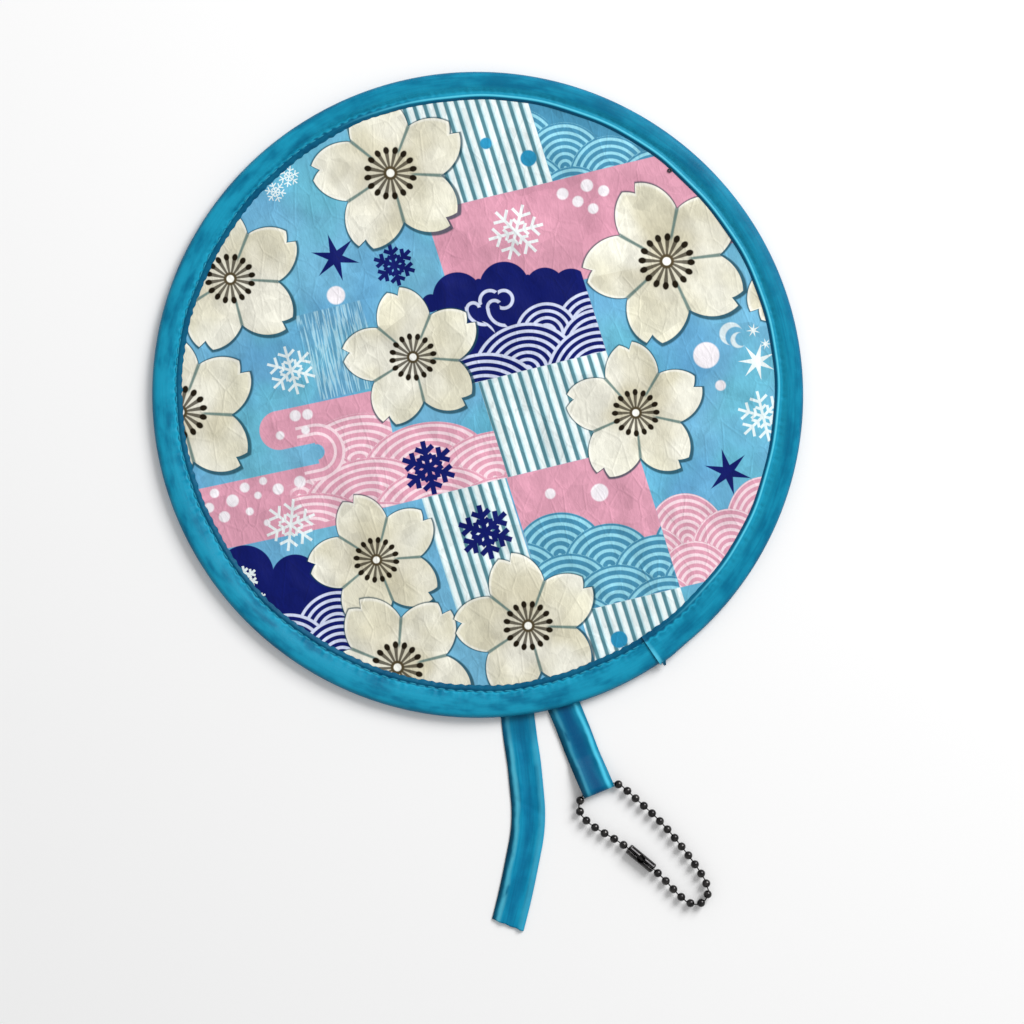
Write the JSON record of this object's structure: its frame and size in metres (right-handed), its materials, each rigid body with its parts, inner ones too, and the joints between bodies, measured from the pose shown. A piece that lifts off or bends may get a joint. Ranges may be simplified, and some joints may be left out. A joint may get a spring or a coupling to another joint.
{
  "type": "round twist-fold hand fan",
  "caption": "Round flat hand fan: a printed cloth panel in a satin-bound spring-wire hoop, with a tie ribbon and a tab that carries a ball-chain loop.",
  "frame": {"origin": "centre of the hoop on the plane of the rim's back, which the fan lies on", "axes": "+Z is the hoop axis, out of the printed front face; -Y points to the two ribbon tails; +X to the side of the chain"},
  "size_m": [0.2, 0.2683, 0.0038],
  "materials": {
    "printed_cloth": "crinkled printed cloth",
    "satin_tape": "satin",
    "sewing_thread": "thread",
    "spring_steel": "drawn wire",
    "crimp_metal": "crimped",
    "dark_metal": "black nickel plated"
  },
  "bodies": {
    "fan": {"printed_panel": "printed_cloth", "hoop_wire": "spring_steel", "hoop_ferrule": "crimp_metal", "rim_binding": "satin_tape", "seam_thread": "sewing_thread", "tie_root": "satin_tape", "tab_root": "satin_tape"},
    "tie": {"tie_tail": "satin_tape"},
    "tab": {"loop_tab": "satin_tape"},
    "chain_head": {"chain_head_beads": "dark_metal", "chain_head_pins": "dark_metal"},
    "chain_upper": {"chain_upper_beads": "dark_metal", "chain_upper_pins": "dark_metal"},
    "chain_middle": {"chain_middle_beads": "dark_metal", "chain_middle_pins": "dark_metal"},
    "chain_lower": {"chain_lower_beads": "dark_metal", "chain_lower_pins": "dark_metal"},
    "chain_tip": {"chain_tip_beads": "dark_metal", "chain_tip_pins": "dark_metal"},
    "connector": {"chain_connector": "dark_metal"}
  },
  "joints": [
    {"name": "tie_fold", "type": "hinge", "parent": "fan", "child": "tie", "pos_m": [-0.00858, -0.10008, 0.00015], "axis": [-0.9963, 0.0854, 0], "range_deg": [-120, 90]},
    {"name": "tab_fold", "type": "hinge", "parent": "fan", "child": "tab", "pos_m": [0.00635, -0.101, 0.0003], "axis": [-0.9836, -0.1805, 0], "range_deg": [-60, 80]},
    {"name": "chain_swing", "type": "hinge", "parent": "tab", "child": "chain_head", "pos_m": [0.0109, -0.12578, 0.00165], "axis": [-0.9836, -0.1805, 0], "range_deg": [-60, 75]},
    {"name": "chain_bend_upper", "type": "hinge", "parent": "chain_head", "child": "chain_upper", "pos_m": [0.01403, -0.1336, 0.00165], "axis": [-0.9149, -0.4037, 0], "range_deg": [-15, 15]},
    {"name": "chain_bend_middle", "type": "hinge", "parent": "chain_upper", "child": "chain_middle", "pos_m": [0.01976, -0.13991, 0.00165], "axis": [-0.8095, -0.5871, 0], "range_deg": [-15, 15]},
    {"name": "chain_bend_lower", "type": "hinge", "parent": "chain_middle", "child": "chain_lower", "pos_m": [0.02927, -0.15407, 0.00165], "axis": [-0.8041, -0.5945, 0], "range_deg": [-15, 15]},
    {"name": "chain_bend_tip", "type": "hinge", "parent": "chain_lower", "child": "chain_tip", "pos_m": [0.033, -0.16176, 0.00165], "axis": [-0.9574, -0.2887, 0], "range_deg": [-15, 15]},
    {"name": "connector_swivel", "type": "hinge", "parent": "chain_middle", "child": "connector", "pos_m": [0.01956, -0.14988, 0.00165], "axis": [-0.6216, 0.7833, 0], "continuous": true}
  ]
}
